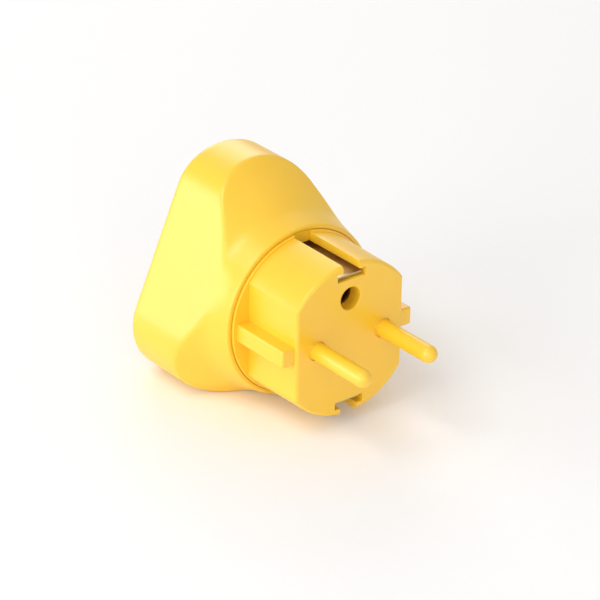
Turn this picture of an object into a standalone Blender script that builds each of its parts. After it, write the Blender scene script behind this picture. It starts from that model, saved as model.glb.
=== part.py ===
"""Earth bonding plug with plastic dummy pins, an earth bow and three press studs.

Frame: the plug's axis lies along Y and its pins point to -Y. The front face of
the plug insert is the plane y = 0, +Z is up, and the housing rests on its flat
underside. Every length is in metres.
"""

import math

import bmesh
import bpy

MM = 0.001
FIT_GAP = 0.3 * MM

# Plug insert: the round body that goes into a recessed socket.
INSERT_RADIUS = 19.0 * MM
INSERT_BASE_RADIUS = 19.3 * MM
INSERT_DEPTH = 17.4 * MM
INSERT_EDGE = 0.5 * MM
FLAT_OFFSET = 15.35 * MM
FLANGE_RADIUS = 19.7 * MM
FLANGE_BACK = 21.4 * MM
CORE_RADIUS = 16.9 * MM
CORE_BACK = 24.0 * MM
RIB_REACH = 18.7 * MM
RIB_HALF_HEIGHT = 2.2 * MM
RIB_SETBACK = 0.8 * MM

# T-slots above and below, each with a strip of the earth bow on its floor.
SLOT_HALF_WIDTH = 4.0 * MM
SLOT_MOUTH_HALF_WIDTH = 2.4 * MM
SLOT_FLOOR = 15.1 * MM
SLOT_ROOF = 17.05 * MM
SLOT_MOUTH_BACK = 18.1 * MM

# Dummy pins, 19 mm apart.
PIN_OFFSET = 9.5 * MM
PIN_RADIUS = 2.1 * MM
PIN_LENGTH = 18.0 * MM
PIN_COLLAR_RADIUS = 3.3 * MM
PIN_COLLAR_FRONT = 18.3 * MM

# Hole for the socket's earth pin, and the contact sleeve behind it.
EARTH_HOLE_HEIGHT = 10.2 * MM
EARTH_HOLE_RADIUS = 2.7 * MM
EARTH_HOLE_CHAMFER = 0.5 * MM
EARTH_HOLE_STEP = 3.5 * MM
SLEEVE_RADIUS = 3.1 * MM
SLEEVE_BORE = 2.45 * MM

# Earth bow: one strip bent to a U.
BOW_THICKNESS = 0.6 * MM
BOW_HALF_WIDTH = 3.7 * MM
BOW_LEG_FRONT = 0.9 * MM
BOW_LEG_TOP = SLOT_FLOOR + FIT_GAP + BOW_THICKNESS
BRIDGE_FRONT = CORE_BACK + FIT_GAP
BRIDGE_BACK = BRIDGE_FRONT + BOW_THICKNESS

# Retainer disc that clamps the insert to the housing's ledge.
RETAINER_RADIUS = 18.9 * MM
RETAINER_BACK = 27.7 * MM
RETAINER_CHANNEL = 1.8 * MM
RETAINER_SCREWS = ((12.3 * MM, 6.7 * MM), (-12.3 * MM, 6.7 * MM), (0.0, -11.5 * MM))
STAR_SCREW = (0.0, 0.0)

# Housing: a rounded-triangle bar cut by a turned neck and flare.
HOUSING_FRONT = 18.0 * MM
HOUSING_BACK = 49.0 * MM
HOUSING_WALL = 2.1 * MM
RIM_WALL = 1.2 * MM
RIM_ROUND = 2.5 * MM
CROWN_TOP = 31.9 * MM
CROWN_RADIUS = 16.5 * MM
CROWN_TURN = math.radians(29.0)
SHOULDER_RADIUS = 11.5 * MM
SIDE_LOBE_OFFSET = 13.65 * MM
SIDE_LOBE_HEIGHT = -8.85 * MM
SIDE_LOBE_RADIUS = 12.55 * MM
NECK_RADIUS = 20.9 * MM
NECK_EDGE = 0.4 * MM
NECK_BORE = 20.0 * MM
LEDGE_BORE = 17.2 * MM
LEDGE_FRONT = 21.7 * MM
FLARE_START = 22.8 * MM
NECK_SLOPE = math.radians(13.5)
FLARE_SLOPE = math.radians(41.0)
FLARE_ROUND = 9.0 * MM
COVER_SEAT = 46.0 * MM

# Front cover and what it carries.
COVER_GAP = 0.3 * MM
COVER_INNER = COVER_SEAT + COVER_GAP
COVER_OUTER = 48.6 * MM
LABEL_RADIUS = 6.6 * MM
LABEL_RECESS = 0.8 * MM
LABEL_THICKNESS = 0.4 * MM
COVER_BOSS_RADIUS = 2.8 * MM
COVER_BOSS_OFFSET = 16.9 * MM
COVER_BOSS_FRONT = 34.0 * MM
COVER_BOSS_PILOT = 1.35 * MM
COVER_BOSS_ANGLES = (270.0, 24.0, 156.0)

# Press studs, one in each lobe, with washer, solder tag and nut behind.
STUD_SHANK_RADIUS = 1.9 * MM
STUD_CLEARANCE_RADIUS = 2.2 * MM
STUD_FLANGE_RADIUS = 6.4 * MM
STUD_WAIST_RADIUS = 4.3 * MM
STUD_HEAD_RADIUS = 5.0 * MM
STUD_NUT_FLATS = 7.0 * MM
STUD_TIP = 39.9 * MM
WASHER_RADIUS = 4.0 * MM
WASHER_FRONT = 45.2 * MM
WASHER_BACK = 45.9 * MM
NUT_FRONT = 41.2 * MM
NUT_BACK = 44.2 * MM
NUT_CHAMFER = 0.6 * MM
TOP_STUD_HEIGHT = 18.7 * MM
STUD_NAMES = ("top", "left", "right")
STUD_PLACES = (
    (0.0, TOP_STUD_HEIGHT),
    (-SIDE_LOBE_OFFSET, SIDE_LOBE_HEIGHT),
    (SIDE_LOBE_OFFSET, SIDE_LOBE_HEIGHT),
)

# Resistors stand between the star tag and the three solder tags.
RESISTOR_REACH = 11.0 * MM
RESISTOR_RADIUS = 1.2 * MM
LEAD_RADIUS = 0.35 * MM
LEAD_BACK = 45.4 * MM
LEAD_HOLE_RADIUS = 0.7 * MM
TAIL_HALF_WIDTH = 1.3 * MM
TAIL_OVERLAP = 1.6 * MM
STAR_FRONT = 28.0 * MM
STAR_THICKNESS = 0.5 * MM
TAG_FRONT = 44.5 * MM
TAG_THICKNESS = 0.4 * MM

PLUG = "earth_bonding_plug"
CUTTERS = "cutters"
HOUSING_STEPS = 72
ROUND_STEPS = 48
SMALL_STEPS = 20


def clear_scene():
    for old in list(bpy.data.objects):
        bpy.data.objects.remove(old, do_unlink=True)


def new_collection(name):
    bpy.context.scene.collection.children.link(bpy.data.collections.new(name))


def new_material(name, colour, roughness, metallic=0.0):
    material = bpy.data.materials.new(name)
    material.use_nodes = True
    shader = material.node_tree.nodes["Principled BSDF"]
    shader.inputs["Base Color"].default_value = (*colour, 1.0)
    shader.inputs["Roughness"].default_value = roughness
    shader.inputs["Metallic"].default_value = metallic
    return material


def add_object(name, mesh, material=None):
    piece = bpy.data.objects.new(name, mesh)
    bpy.data.collections[PLUG].objects.link(piece)
    if material is not None:
        mesh.materials.append(material)
    return piece


def turned(name, profile, place=(0.0, 0.0), steps=SMALL_STEPS, ring=False, material=None):
    """Turn (radius, y) points, listed from the back to the front, about a line along Y."""
    mesh = bpy.data.meshes.new(name)
    points = [(radius, 0.0, along) for radius, along in profile]
    edges = [(i, i + 1) for i in range(len(points) - 1)]
    if ring:
        edges.append((len(points) - 1, 0))
    mesh.from_pydata(points, edges, [])
    piece = add_object(name, mesh, material)
    piece.rotation_euler = (math.radians(-90.0), 0.0, 0.0)
    piece.location = (place[0], 0.0, place[1])
    screw = piece.modifiers.new("turn", "SCREW")
    screw.axis = "Z"
    screw.angle = math.tau
    screw.steps = steps
    screw.render_steps = steps
    screw.use_merge_vertices = True
    screw.merge_threshold = 0.00001
    return piece


def slab(name, points, front, back, material=None):
    """Extrude an outline of (x, z) points from y = front to y = back."""
    curve = bpy.data.curves.new(name, "CURVE")
    curve.dimensions = "2D"
    curve.fill_mode = "BOTH"
    curve.extrude = (back - front) / 2.0
    spline = curve.splines.new("POLY")
    spline.points.add(len(points) - 1)
    for point, (x, z) in zip(spline.points, points):
        point.co = (x, z, 0.0, 1.0)
    spline.use_cyclic_u = True
    flat = bpy.data.objects.new(name + "_outline", curve)
    bpy.data.collections[PLUG].objects.link(flat)
    flat.rotation_euler = (math.radians(90.0), 0.0, 0.0)
    flat.location = (0.0, (front + back) / 2.0, 0.0)
    bpy.context.view_layer.update()
    graph = bpy.context.evaluated_depsgraph_get()
    mesh = bpy.data.meshes.new_from_object(flat.evaluated_get(graph))
    matrix = flat.matrix_world.copy()
    bpy.data.objects.remove(flat, do_unlink=True)
    mesh.name = name
    mesh.materials.clear()
    body = bmesh.new()
    body.from_mesh(mesh)
    bmesh.ops.remove_doubles(body, verts=body.verts, dist=0.000001)
    bmesh.ops.transform(body, matrix=matrix, verts=body.verts)
    bmesh.ops.recalc_face_normals(body, faces=body.faces)
    body.to_mesh(mesh)
    body.free()
    return add_object(name, mesh, material)


def block(name, low, high, material=None):
    """A box from its lowest corner to its highest."""
    size = [b - a for a, b in zip(low, high)]
    middle = [(a + b) / 2.0 for a, b in zip(low, high)]
    body = bmesh.new()
    bmesh.ops.create_cube(body, size=1.0)
    bmesh.ops.scale(body, vec=size, verts=body.verts)
    bmesh.ops.translate(body, vec=middle, verts=body.verts)
    mesh = bpy.data.meshes.new(name)
    body.to_mesh(mesh)
    body.free()
    return add_object(name, mesh, material)


def combine(piece, other, operation):
    """Join, cut or intersect a piece with a cutter, which leaves the visible parts."""
    modifier = piece.modifiers.new(other.name, "BOOLEAN")
    modifier.solver = "EXACT"
    modifier.operation = operation
    modifier.object = other
    other.hide_render = True
    other.display_type = "WIRE"
    for collection in list(other.users_collection):
        collection.objects.unlink(other)
    bpy.data.collections[CUTTERS].objects.link(other)


def cut(piece, other):
    combine(piece, other, "DIFFERENCE")


def join(piece, other):
    combine(piece, other, "UNION")


def lobed_outline(inset=0.0, arc_points=9):
    """The housing's outline: a blunt crown and two side lobes, with straight sides between."""
    crown_height = CROWN_TOP - CROWN_RADIUS
    shoulder_reach = CROWN_RADIUS - SHOULDER_RADIUS
    shoulder_x = shoulder_reach * math.sin(CROWN_TURN)
    shoulder_z = crown_height + shoulder_reach * math.cos(CROWN_TURN)
    centres = (
        (0.0, crown_height, CROWN_RADIUS - inset),
        (-shoulder_x, shoulder_z, SHOULDER_RADIUS - inset),
        (-SIDE_LOBE_OFFSET, SIDE_LOBE_HEIGHT, SIDE_LOBE_RADIUS - inset),
        (SIDE_LOBE_OFFSET, SIDE_LOBE_HEIGHT, SIDE_LOBE_RADIUS - inset),
        (shoulder_x, shoulder_z, SHOULDER_RADIUS - inset),
    )
    normals = []
    for i, (x0, z0, r0) in enumerate(centres):
        x1, z1, r1 = centres[(i + 1) % len(centres)]
        length = math.hypot(x1 - x0, z1 - z0)
        heading = math.atan2(z1 - z0, x1 - x0)
        lean = max(-1.0, min(1.0, (r0 - r1) / length))
        normals.append(heading - math.acos(lean))
    points = []
    for i in range(len(centres)):
        x, z, radius = centres[i]
        start = normals[i - 1]
        sweep = (normals[i] - start) % math.tau
        for step in range(arc_points + 1):
            angle = start + sweep * step / arc_points
            points.append((x + radius * math.cos(angle), z + radius * math.sin(angle)))
    return points


def flare_profile(inset=0.0):
    """Points (radius, y) up the neck and the flare, moved in by the wall thickness."""
    start_radius = NECK_RADIUS + (FLARE_START - HOUSING_FRONT) * math.tan(NECK_SLOPE)
    points = []
    steps = 6
    for step in range(steps + 1):
        slope = NECK_SLOPE + (FLARE_SLOPE - NECK_SLOPE) * step / steps
        y = FLARE_START + FLARE_ROUND * (math.sin(slope) - math.sin(NECK_SLOPE))
        radius = start_radius + FLARE_ROUND * (math.cos(NECK_SLOPE) - math.cos(slope))
        points.append((radius - inset * math.cos(slope), y + inset * math.sin(slope)))
    end_radius, end_y = points[-1]
    reach = 12.0 * MM
    points.append((end_radius + reach * math.sin(FLARE_SLOPE), end_y + reach * math.cos(FLARE_SLOPE)))
    return points


def plug_insert(material):
    """The moulded insert: front block with flats, ribs and T-slots, flange and core."""
    piece = turned("plug_insert", (
        (0.0, CORE_BACK),
        (CORE_RADIUS, CORE_BACK),
        (CORE_RADIUS, FLANGE_BACK),
        (FLANGE_RADIUS, FLANGE_BACK),
        (FLANGE_RADIUS, INSERT_DEPTH),
        (INSERT_BASE_RADIUS, INSERT_DEPTH),
        (INSERT_RADIUS, INSERT_EDGE),
        (INSERT_RADIUS - INSERT_EDGE, 0.0),
        (0.0, 0.0),
    ), steps=ROUND_STEPS, material=material)
    beyond = 25.0 * MM
    for side in (-1.0, 1.0):
        near, far = sorted((side * FLAT_OFFSET, side * beyond))
        flat = block("flat_cutter", (near, -beyond, -beyond), (far, INSERT_DEPTH, beyond))
        cut(piece, flat)
        near, far = sorted((side * (FLAT_OFFSET - 0.4 * MM), side * RIB_REACH))
        rib_low = (near, RIB_SETBACK, -RIB_HALF_HEIGHT)
        rib_high = (far, INSERT_DEPTH + 0.5 * MM, RIB_HALF_HEIGHT)
        join(piece, block("rib", rib_low, rib_high))
        low, high = sorted((side * SLOT_FLOOR, side * SLOT_ROOF))
        slot_low = (-SLOT_HALF_WIDTH, -beyond, low)
        slot_high = (SLOT_HALF_WIDTH, beyond, high)
        cut(piece, block("slot_cutter", slot_low, slot_high))
        low, high = sorted((side * (SLOT_FLOOR + 1.0 * MM), side * beyond))
        mouth_low = (-SLOT_MOUTH_HALF_WIDTH, -beyond, low)
        mouth_high = (SLOT_MOUTH_HALF_WIDTH, SLOT_MOUTH_BACK, high)
        cut(piece, block("slot_mouth_cutter", mouth_low, mouth_high))
        pin_bore = turned("pin_bore", (
            (0.0, beyond),
            (PIN_COLLAR_RADIUS + FIT_GAP, beyond),
            (PIN_COLLAR_RADIUS + FIT_GAP, PIN_COLLAR_FRONT - FIT_GAP),
            (PIN_RADIUS + FIT_GAP, PIN_COLLAR_FRONT - FIT_GAP),
            (PIN_RADIUS + FIT_GAP, -beyond),
            (0.0, -beyond),
        ), (side * PIN_OFFSET, 0.0))
        cut(piece, pin_bore)
        pocket_low = (side * 7.6 * MM - 3.0 * MM, 3.0 * MM, -13.0 * MM)
        pocket_high = (side * 7.6 * MM + 3.0 * MM, beyond, -6.5 * MM)
        cut(piece, block("core_pocket", pocket_low, pocket_high))
    earth_bore = turned("earth_bore", (
        (0.0, beyond),
        (SLEEVE_RADIUS + FIT_GAP, beyond),
        (SLEEVE_RADIUS + FIT_GAP, EARTH_HOLE_STEP),
        (EARTH_HOLE_RADIUS, EARTH_HOLE_STEP),
        (EARTH_HOLE_RADIUS, EARTH_HOLE_CHAMFER),
        (EARTH_HOLE_RADIUS + 2.0 * EARTH_HOLE_CHAMFER, -EARTH_HOLE_CHAMFER),
        (0.0, -EARTH_HOLE_CHAMFER),
    ), (0.0, EARTH_HOLE_HEIGHT))
    cut(piece, earth_bore)
    for place in RETAINER_SCREWS + (STAR_SCREW,):
        cut(piece, rod("screw_pilot", 1.55 * MM, 13.0 * MM, beyond, place, steps=16))
    return piece


def rod(name, radius, front, back, place=(0.0, 0.0), steps=SMALL_STEPS, material=None):
    """A plain cylinder along Y."""
    profile = ((0.0, back), (radius, back), (radius, front), (0.0, front))
    return turned(name, profile, place, steps, material=material)


def dummy_pins(material):
    """Two plastic pins with round tips, each held by a collar inside the insert."""
    for name, side in (("dummy_pin_left", -1.0), ("dummy_pin_right", 1.0)):
        profile = [
            (0.0, CORE_BACK - FIT_GAP),
            (PIN_COLLAR_RADIUS, CORE_BACK - FIT_GAP),
            (PIN_COLLAR_RADIUS, PIN_COLLAR_FRONT),
            (PIN_RADIUS, PIN_COLLAR_FRONT),
        ]
        tip_centre = -PIN_LENGTH + PIN_RADIUS
        steps = 6
        for step in range(steps + 1):
            angle = math.pi / 2.0 * step / steps
            radius = PIN_RADIUS * math.cos(angle) if step < steps else 0.0
            profile.append((radius, tip_centre - PIN_RADIUS * math.sin(angle)))
        turned(name, profile, (side * PIN_OFFSET, 0.0), material=material)


def earth_bow(material):
    """A plated strip with a leg in each T-slot and a bridge behind the insert."""
    leg_floor = BOW_LEG_TOP - BOW_THICKNESS
    piece = block(
        "earth_bow",
        (-BOW_HALF_WIDTH, BRIDGE_FRONT, -BOW_LEG_TOP),
        (BOW_HALF_WIDTH, BRIDGE_BACK, BOW_LEG_TOP),
        material,
    )
    for side in (-1.0, 1.0):
        low, high = sorted((side * leg_floor, side * BOW_LEG_TOP))
        leg_low = (-BOW_HALF_WIDTH, BOW_LEG_FRONT, low)
        leg_high = (BOW_HALF_WIDTH, BRIDGE_BACK, high)
        join(piece, block("bow_leg", leg_low, leg_high))
    for height in (EARTH_HOLE_HEIGHT, 0.0, RETAINER_SCREWS[2][1]):
        cut(piece, rod("bow_hole", 1.6 * MM, 20.0 * MM, 30.0 * MM, (0.0, height), steps=16))
    return piece


def contact_sleeve(material):
    """A turned sleeve for the socket's earth pin, riveted to the bow at its back."""
    sleeve_front = EARTH_HOLE_STEP + FIT_GAP
    turned("contact_sleeve", (
        (0.0, BRIDGE_BACK + 0.8 * MM),
        (2.3 * MM, BRIDGE_BACK + 0.8 * MM),
        (2.3 * MM, BRIDGE_BACK + 0.3 * MM),
        (1.3 * MM, BRIDGE_BACK + 0.3 * MM),
        (1.3 * MM, CORE_BACK - 0.2 * MM),
        (SLEEVE_RADIUS, CORE_BACK - 0.2 * MM),
        (SLEEVE_RADIUS, sleeve_front),
        (SLEEVE_BORE, sleeve_front),
        (SLEEVE_BORE, 21.5 * MM),
        (0.0, 21.5 * MM),
    ), (0.0, EARTH_HOLE_HEIGHT), material=material)


def insert_retainer(material):
    """A disc behind the housing's ledge, with a channel for the bow's bridge."""
    beyond = 25.0 * MM
    piece = rod(
        "insert_retainer", RETAINER_RADIUS, BRIDGE_FRONT, RETAINER_BACK,
        steps=ROUND_STEPS, material=material,
    )
    channel_half = BOW_HALF_WIDTH + FIT_GAP
    channel = block(
        "retainer_channel",
        (-channel_half, 0.0, -beyond),
        (channel_half, BRIDGE_FRONT + RETAINER_CHANNEL, beyond),
    )
    cut(piece, channel)
    for place in RETAINER_SCREWS + (STAR_SCREW,):
        cut(piece, rod("retainer_hole", 1.55 * MM, 20.0 * MM, 30.0 * MM, place, steps=16))
    return piece


def pan_screw(name, place, head_front, shank_front, material, shank=1.25 * MM, head=2.5 * MM):
    """A pan-head screw whose head faces +Y, with a cross recess."""
    thickness = 1.7 * MM
    piece = turned(name, (
        (0.0, head_front + thickness),
        (head * 0.6, head_front + thickness),
        (head * 0.9, head_front + thickness * 0.75),
        (head, head_front + thickness * 0.4),
        (head, head_front),
        (shank, head_front),
        (shank, shank_front + shank),
        (0.0, shank_front),
    ), place, material=material)
    slot_half = 0.28 * MM
    slot_reach = head * 0.55
    slot_floor = head_front + thickness * 0.35
    for across, along in ((slot_half, slot_reach), (slot_reach, slot_half)):
        low = (place[0] - across, slot_floor, place[1] - along)
        high = (place[0] + across, head_front + 2.0 * thickness, place[1] + along)
        cut(piece, block("cross_recess", low, high))
    return piece


def housing_shell(material):
    """The yellow shell: neck, flare and three lobes, hollow and open at the back."""
    beyond = 60.0 * MM
    outer_flare = [(0.0, beyond), (flare_profile()[-1][0], beyond)]
    outer_flare += reversed(flare_profile())
    outer_flare += [
        (NECK_RADIUS, HOUSING_FRONT + NECK_EDGE),
        (NECK_RADIUS - NECK_EDGE, HOUSING_FRONT),
        (0.0, HOUSING_FRONT),
    ]
    piece = slab("housing_shell", lobed_outline(), HOUSING_FRONT - 5.0 * MM, HOUSING_BACK, material)
    round_back_rim(piece, HOUSING_BACK, RIM_ROUND)
    combine(piece, turned("outer_flare", outer_flare, steps=HOUSING_STEPS), "INTERSECT")

    inner_flare = [(0.0, beyond), (flare_profile(HOUSING_WALL)[-1][0], beyond)]
    inner_flare += reversed(flare_profile(HOUSING_WALL))
    inner_flare += [
        (RETAINER_RADIUS + 0.4 * MM, CORE_BACK),
        (0.0, CORE_BACK),
    ]
    hollow = slab("hollow", lobed_outline(HOUSING_WALL), CORE_BACK - 1.0 * MM, COVER_SEAT)
    combine(hollow, turned("inner_flare", inner_flare, steps=HOUSING_STEPS), "INTERSECT")
    for angle in COVER_BOSS_ANGLES:
        boss = rod("boss_space", COVER_BOSS_RADIUS, COVER_BOSS_FRONT, beyond, boss_place(angle))
        cut(hollow, boss)
    cut(piece, hollow)
    cut(piece, slab("rebate", lobed_outline(RIM_WALL), COVER_SEAT - 0.05 * MM, beyond))
    bore = turned("neck_bore", (
        (0.0, CORE_BACK + 1.0 * MM),
        (LEDGE_BORE, CORE_BACK + 1.0 * MM),
        (LEDGE_BORE, LEDGE_FRONT),
        (NECK_BORE, LEDGE_FRONT),
        (NECK_BORE, HOUSING_FRONT - 1.0 * MM),
        (0.0, HOUSING_FRONT - 1.0 * MM),
    ), steps=HOUSING_STEPS)
    cut(piece, bore)
    for angle in COVER_BOSS_ANGLES:
        pilot_front = COVER_BOSS_FRONT + 2.0 * MM
        pilot = rod("boss_pilot", COVER_BOSS_PILOT, pilot_front, beyond, boss_place(angle), steps=16)
        cut(piece, pilot)
    return piece


def boss_place(angle):
    """Where a cover boss stands, for its angle about the axis in degrees."""
    turn = math.radians(angle)
    return (COVER_BOSS_OFFSET * math.cos(turn), COVER_BOSS_OFFSET * math.sin(turn))


def round_back_rim(piece, back, radius):
    """Round the edge of the slab's back face."""
    body = bmesh.new()
    body.from_mesh(piece.data)
    rim = [
        edge for edge in body.edges
        if all(abs(vertex.co.y - back) < 0.00001 for vertex in edge.verts)
        and len({round(face.normal.y) for face in edge.link_faces}) > 1
    ]
    bmesh.ops.bevel(body, geom=rim, offset=radius, segments=4, profile=0.5, affect="EDGES")
    body.to_mesh(piece.data)
    body.free()


def front_cover(material):
    """The inset cover, with stud holes, countersunk screw holes and a label recess."""
    piece = slab("front_cover", lobed_outline(RIM_WALL + COVER_GAP), COVER_INNER, COVER_OUTER, material)
    for place in STUD_PLACES:
        cut(piece, rod("stud_hole", STUD_CLEARANCE_RADIUS, 40.0 * MM, 60.0 * MM, place))
    for angle in COVER_BOSS_ANGLES:
        countersink = turned("cover_screw_hole", (
            (0.0, 60.0 * MM),
            (2.9 * MM, 60.0 * MM),
            (2.9 * MM, COVER_OUTER - 0.3 * MM),
            (1.5 * MM, COVER_OUTER - 1.6 * MM),
            (1.5 * MM, 40.0 * MM),
            (0.0, 40.0 * MM),
        ), boss_place(angle))
        cut(piece, countersink)
    cut(piece, rod("label_recess", LABEL_RADIUS + FIT_GAP, COVER_OUTER - LABEL_RECESS, 60.0 * MM, steps=48))
    return piece


def cover_screws(material):
    """Three countersunk screws, with the heads level with the cover."""
    for number, angle in enumerate(COVER_BOSS_ANGLES, start=1):
        place = boss_place(angle)
        screw = turned("cover_screw_%d" % number, (
            (0.0, COVER_OUTER - 0.1 * MM),
            (2.45 * MM, COVER_OUTER - 0.1 * MM),
            (2.45 * MM, COVER_OUTER - 0.3 * MM),
            (1.05 * MM, COVER_OUTER - 1.65 * MM),
            (1.05 * MM, 38.5 * MM),
            (0.0, 37.5 * MM),
        ), place, material=material)
        for across, along in ((0.28 * MM, 1.4 * MM), (1.4 * MM, 0.28 * MM)):
            low = (place[0] - across, COVER_OUTER - 1.0 * MM, place[1] - along)
            high = (place[0] + across, COVER_OUTER + 1.0 * MM, place[1] + along)
            cut(screw, block("cross_recess", low, high))


def label_disc(material):
    """A thin disc in the recess of the cover."""
    floor = COVER_OUTER - LABEL_RECESS + FIT_GAP
    rod("label_disc", LABEL_RADIUS, floor, floor + LABEL_THICKNESS, steps=48, material=material)


def press_stud_profile():
    """A 10 mm press stud on a plain shank, as (radius, y) from its top to its tip."""
    seat = COVER_OUTER + FIT_GAP
    profile = [(0.0, seat + 4.4 * MM)]
    crown = 1.1 * MM
    steps = 4
    for step in range(steps + 1):
        angle = math.pi / 2.0 * (1.0 - step / steps)
        radius = STUD_HEAD_RADIUS - crown + crown * math.cos(angle)
        profile.append((radius, seat + 3.3 * MM + crown * math.sin(angle)))
    profile += [
        (STUD_HEAD_RADIUS, seat + 2.6 * MM),
        (STUD_WAIST_RADIUS, seat + 1.7 * MM),
        (STUD_WAIST_RADIUS, seat + 1.1 * MM),
        (STUD_FLANGE_RADIUS - 0.3 * MM, seat + 0.9 * MM),
        (STUD_FLANGE_RADIUS, seat + 0.6 * MM),
        (STUD_FLANGE_RADIUS, seat),
        (STUD_SHANK_RADIUS, seat),
        (STUD_SHANK_RADIUS, STUD_TIP + 0.4 * MM),
        (STUD_SHANK_RADIUS - 0.4 * MM, STUD_TIP),
        (0.0, STUD_TIP),
    ]
    return profile


def stud_sets(stud_metal, steel, tin, body_colour):
    """In each lobe: the stud, its washer, solder tag and nut, and its resistor."""
    bore = STUD_CLEARANCE_RADIUS
    for name, place in zip(STUD_NAMES, STUD_PLACES):
        turned("press_stud_" + name, press_stud_profile(), place, steps=24, material=stud_metal)
        turned("stud_washer_" + name, (
            (WASHER_RADIUS, WASHER_BACK),
            (WASHER_RADIUS, WASHER_FRONT),
            (bore, WASHER_FRONT),
            (bore, WASHER_BACK),
        ), place, ring=True, material=steel)
        solder_tag("solder_tag_" + name, place, bore, tin)
        stud_nut("stud_nut_" + name, place, bore, steel)
        resistor("resistor_" + name, along_arm(place, RESISTOR_REACH), body_colour)


def solder_tag(name, place, bore, material):
    """A ring with a tail that reaches in towards the axis."""
    ring = 3.7 * MM
    tail_half = TAIL_HALF_WIDTH
    tail_end = RESISTOR_REACH - TAIL_OVERLAP
    inward = math.atan2(-place[1], -place[0])
    neck = math.asin(tail_half / ring)
    outline = []
    steps = 20
    for step in range(steps + 1):
        angle = inward + neck + (math.tau - 2.0 * neck) * step / steps
        outline.append((place[0] + ring * math.cos(angle), place[1] + ring * math.sin(angle)))
    for across in (-tail_half, tail_half):
        outline.append(along_arm(place, tail_end, across))
    piece = slab(name, outline, TAG_FRONT, TAG_FRONT + TAG_THICKNESS, material)
    cut(piece, rod("tag_bore", bore, 40.0 * MM, 50.0 * MM, place))
    lead_place = along_arm(place, RESISTOR_REACH)
    cut(piece, rod("tag_lead_hole", LEAD_HOLE_RADIUS, 40.0 * MM, 50.0 * MM, lead_place, steps=12))


def along_arm(place, distance, across=0.0):
    """A point at a distance from the axis towards a place, moved across to its right."""
    length = math.hypot(*place)
    ux, uz = place[0] / length, place[1] / length
    return (ux * distance + uz * across, uz * distance - ux * across)


def stud_nut(name, place, bore, material):
    """A hexagon nut with chamfered corners."""
    circle = STUD_NUT_FLATS / math.sqrt(3.0)
    inner = STUD_NUT_FLATS / 2.0 - NUT_CHAMFER
    corners = []
    for side in range(6):
        angle = math.radians(60.0 * side)
        corners.append((place[0] + circle * math.cos(angle), place[1] + circle * math.sin(angle)))
    piece = slab(name, corners, NUT_FRONT, NUT_BACK, material)
    chamfer = turned("nut_chamfer", (
        (0.0, NUT_BACK + NUT_CHAMFER),
        (inner, NUT_BACK + NUT_CHAMFER),
        (circle + NUT_CHAMFER, NUT_BACK - 1.0 * MM),
        (circle + NUT_CHAMFER, NUT_FRONT + 1.0 * MM),
        (inner, NUT_FRONT - NUT_CHAMFER),
        (0.0, NUT_FRONT - NUT_CHAMFER),
    ), place)
    combine(piece, chamfer, "INTERSECT")
    cut(piece, rod("nut_bore", bore, 38.0 * MM, 48.0 * MM, place))


def resistor(name, place, material):
    """A dog-bone resistor body on a straight lead."""
    middle = (STAR_FRONT + TAG_FRONT) / 2.0
    waist = RESISTOR_RADIUS * 0.85
    turned(name, (
        (0.0, LEAD_BACK),
        (LEAD_RADIUS, LEAD_BACK),
        (LEAD_RADIUS, middle + 3.3 * MM),
        (RESISTOR_RADIUS * 0.7, middle + 3.2 * MM),
        (RESISTOR_RADIUS, middle + 2.8 * MM),
        (RESISTOR_RADIUS, middle + 2.0 * MM),
        (waist, middle + 1.6 * MM),
        (waist, middle - 1.6 * MM),
        (RESISTOR_RADIUS, middle - 2.0 * MM),
        (RESISTOR_RADIUS, middle - 2.8 * MM),
        (RESISTOR_RADIUS * 0.7, middle - 3.2 * MM),
        (LEAD_RADIUS, middle - 3.3 * MM),
        (LEAD_RADIUS, STAR_FRONT + 0.1 * MM),
        (0.0, STAR_FRONT + 0.1 * MM),
    ), place, steps=12, material=material)


def star_tag(material):
    """The common tag: three arms out to the resistors, held by the centre screw."""
    hub = 4.0 * MM
    arm_half = TAIL_HALF_WIDTH
    arm_end = RESISTOR_REACH + TAIL_OVERLAP
    outline = []
    for place in STUD_PLACES:
        root = math.sqrt(hub * hub - arm_half * arm_half)
        arm = ((root, arm_half), (arm_end, arm_half), (arm_end, -arm_half), (root, -arm_half))
        for distance, across in arm:
            outline.append(along_arm(place, distance, across))
    piece = slab("star_tag", outline, STAR_FRONT, STAR_FRONT + STAR_THICKNESS, material)
    for place in STUD_PLACES:
        lead_place = along_arm(place, RESISTOR_REACH)
        cut(piece, rod("star_lead_hole", LEAD_HOLE_RADIUS, 20.0 * MM, 40.0 * MM, lead_place, steps=12))
    cut(piece, rod("star_bore", 1.6 * MM, 20.0 * MM, 40.0 * MM, steps=16))


def shade_smooth(pieces):
    for piece in pieces:
        piece.data.shade_smooth()
        piece.data.set_sharp_from_angle(angle=math.radians(35.0))


clear_scene()
new_collection(PLUG)
new_collection(CUTTERS)

yellow = new_material("yellow_plastic", (0.94, 0.62, 0.07), 0.38)
white = new_material("white_plastic", (0.80, 0.80, 0.78), 0.50)
black = new_material("black_plastic", (0.04, 0.04, 0.04), 0.50)
tin = new_material("tinned_brass", (0.62, 0.58, 0.50), 0.35, 1.0)
brass = new_material("turned_brass", (0.72, 0.53, 0.25), 0.30, 1.0)
nickel = new_material("nickel_plate", (0.72, 0.70, 0.66), 0.22, 1.0)
steel = new_material("zinc_steel", (0.60, 0.61, 0.62), 0.35, 1.0)
blue = new_material("resistor_lacquer", (0.25, 0.50, 0.62), 0.40)

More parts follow.
